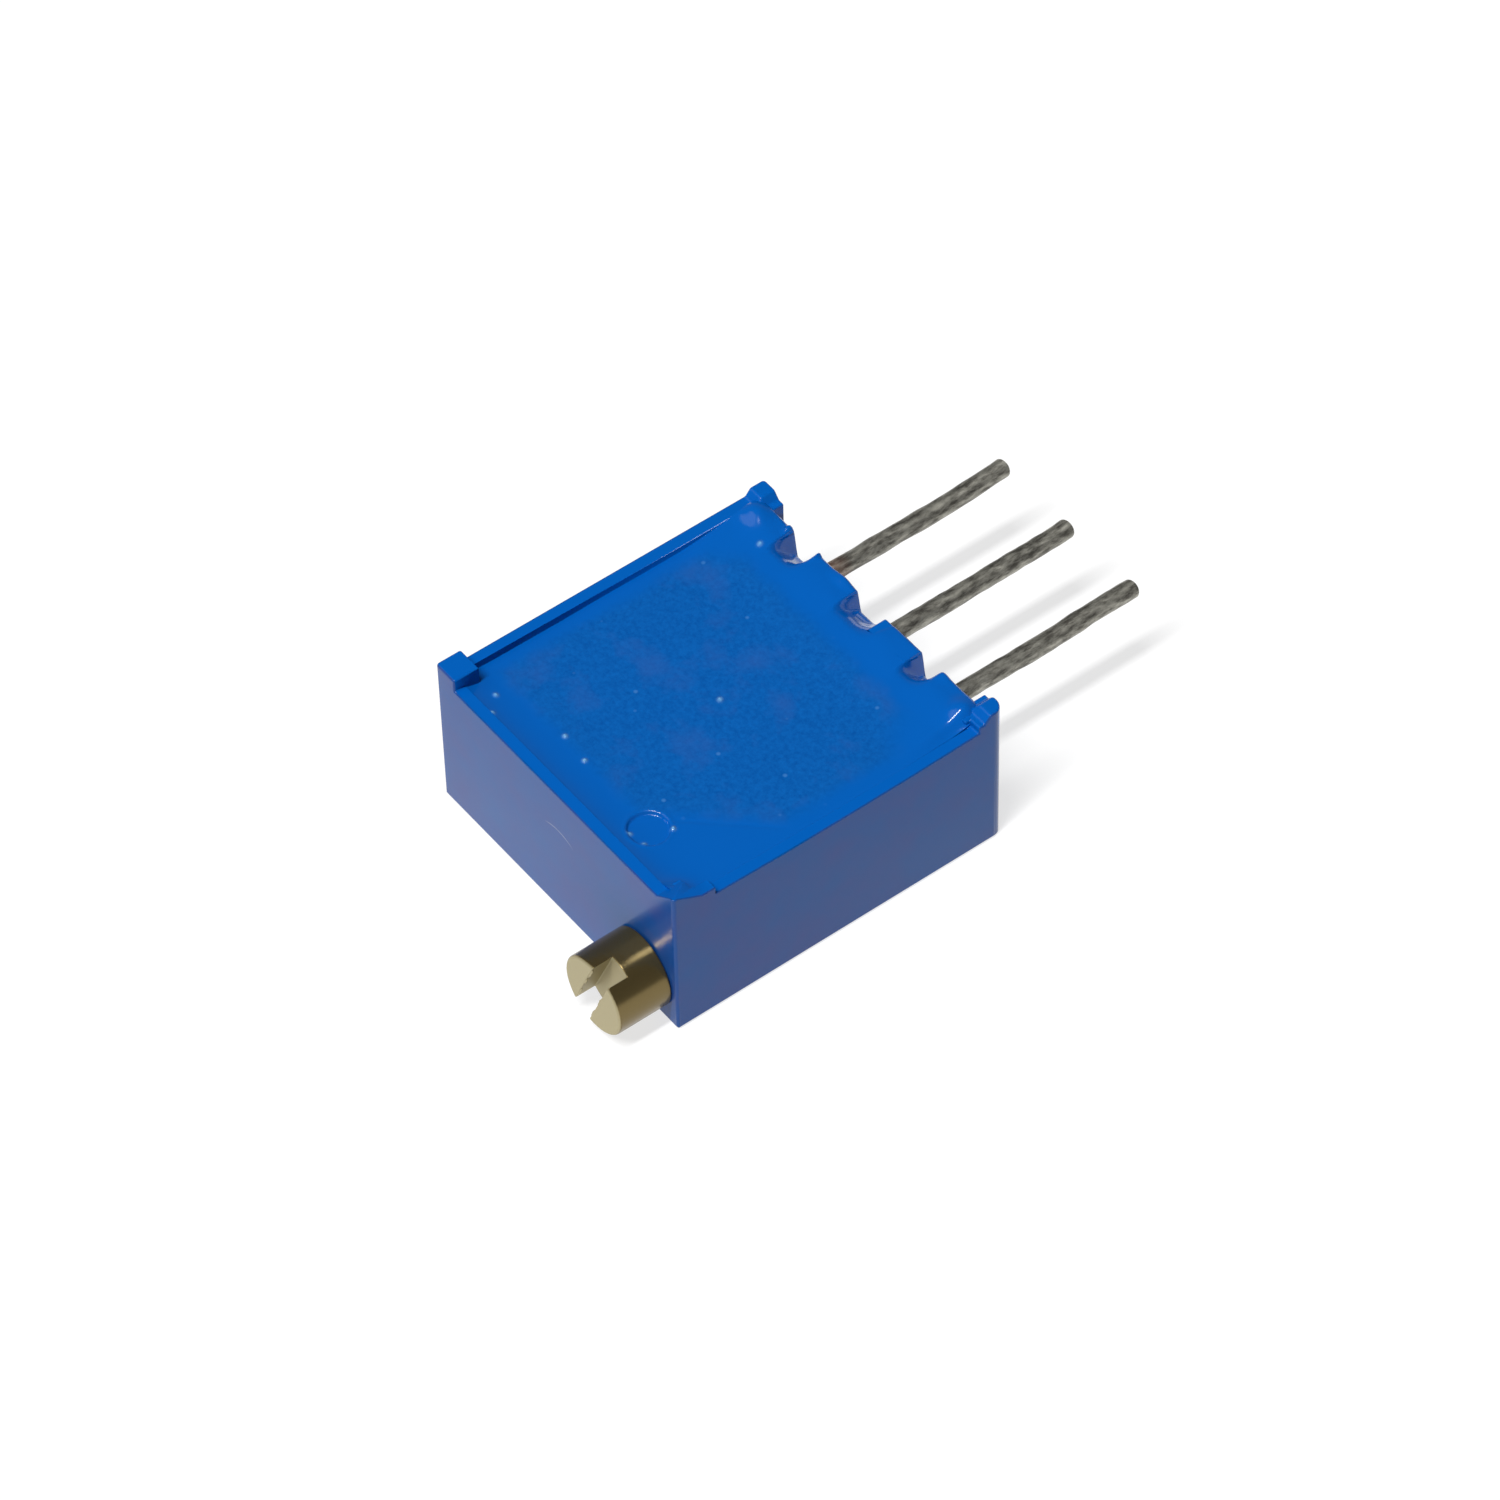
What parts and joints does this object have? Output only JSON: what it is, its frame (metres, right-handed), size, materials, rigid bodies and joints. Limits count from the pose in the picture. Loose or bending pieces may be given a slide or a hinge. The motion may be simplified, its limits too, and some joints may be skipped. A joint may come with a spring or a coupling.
{
  "type": "multi-turn trimmer potentiometer",
  "caption": "Square blue trimmer potentiometer with a slotted brass adjusting screw on one side, round wire terminals on the opposite side and an epoxy-filled open face.",
  "frame": {"origin": "centre of the housing's closed large face, which the part lies on", "axes": "+Y along the terminals, away from the body; +Z out of the closed face towards the open, potted face; the adjusting screw's head stands out towards -Y on the +X side"},
  "size_m": [0.0096, 0.0175, 0.0048],
  "materials": {
    "body_plastic": "moulded thermoplastic polyester, blue, semi-gloss",
    "potting_epoxy": "cast blue epoxy, glossy, matt and speckled over the plate",
    "alumina": "sintered alumina ceramic, matt white",
    "cermet_film": "fired cermet resistor film, dark grey",
    "silver_film": "fired silver-palladium conductor film, dull",
    "tinned_copper": "tin-plated copper wire, dull and mottled",
    "solder": "tin solder, satin",
    "turned_brass": "turned and sawn brass, nickel-free, satin",
    "silicone": "moulded silicone rubber, matt",
    "spring_steel": "stamped spring steel, satin",
    "nylon": "moulded nylon, natural white, matt",
    "wiper_alloy": "stamped precious-metal spring alloy, bright"
  },
  "bodies": {
    "body": {"housing": "body_plastic", "potting": "potting_epoxy", "ceramic_substrate": "alumina", "resistive_track": "cermet_film", "collector_track": "silver_film", "end_conductor_1": "silver_film", "end_conductor_3": "silver_film", "terminal_1": "tinned_copper", "terminal_2": "tinned_copper", "terminal_3": "tinned_copper", "solder_joint_1": "solder", "solder_joint_2": "solder", "solder_joint_3": "solder", "shaft_seal": "silicone", "retaining_clip": "spring_steel"},
    "screw": {"adjusting_screw": "turned_brass"},
    "slider": {"carriage": "nylon", "wiper": "wiper_alloy"}
  },
  "joints": [
    {"name": "screw_turn", "type": "hinge", "parent": "body", "child": "screw", "pos_m": [0.00349, -0.00502, 0.00127], "axis": [0, -1, 0], "range_deg": [-4500, 4500]},
    {"name": "carriage_slide", "type": "slide", "parent": "body", "child": "slider", "axis": [0, 1, 0], "range_m": [-0.0025, 0.0025]}
  ],
  "couplings": [
    {"joint": "screw_turn", "follows": "carriage_slide", "rad_per_m": 31416}
  ]
}
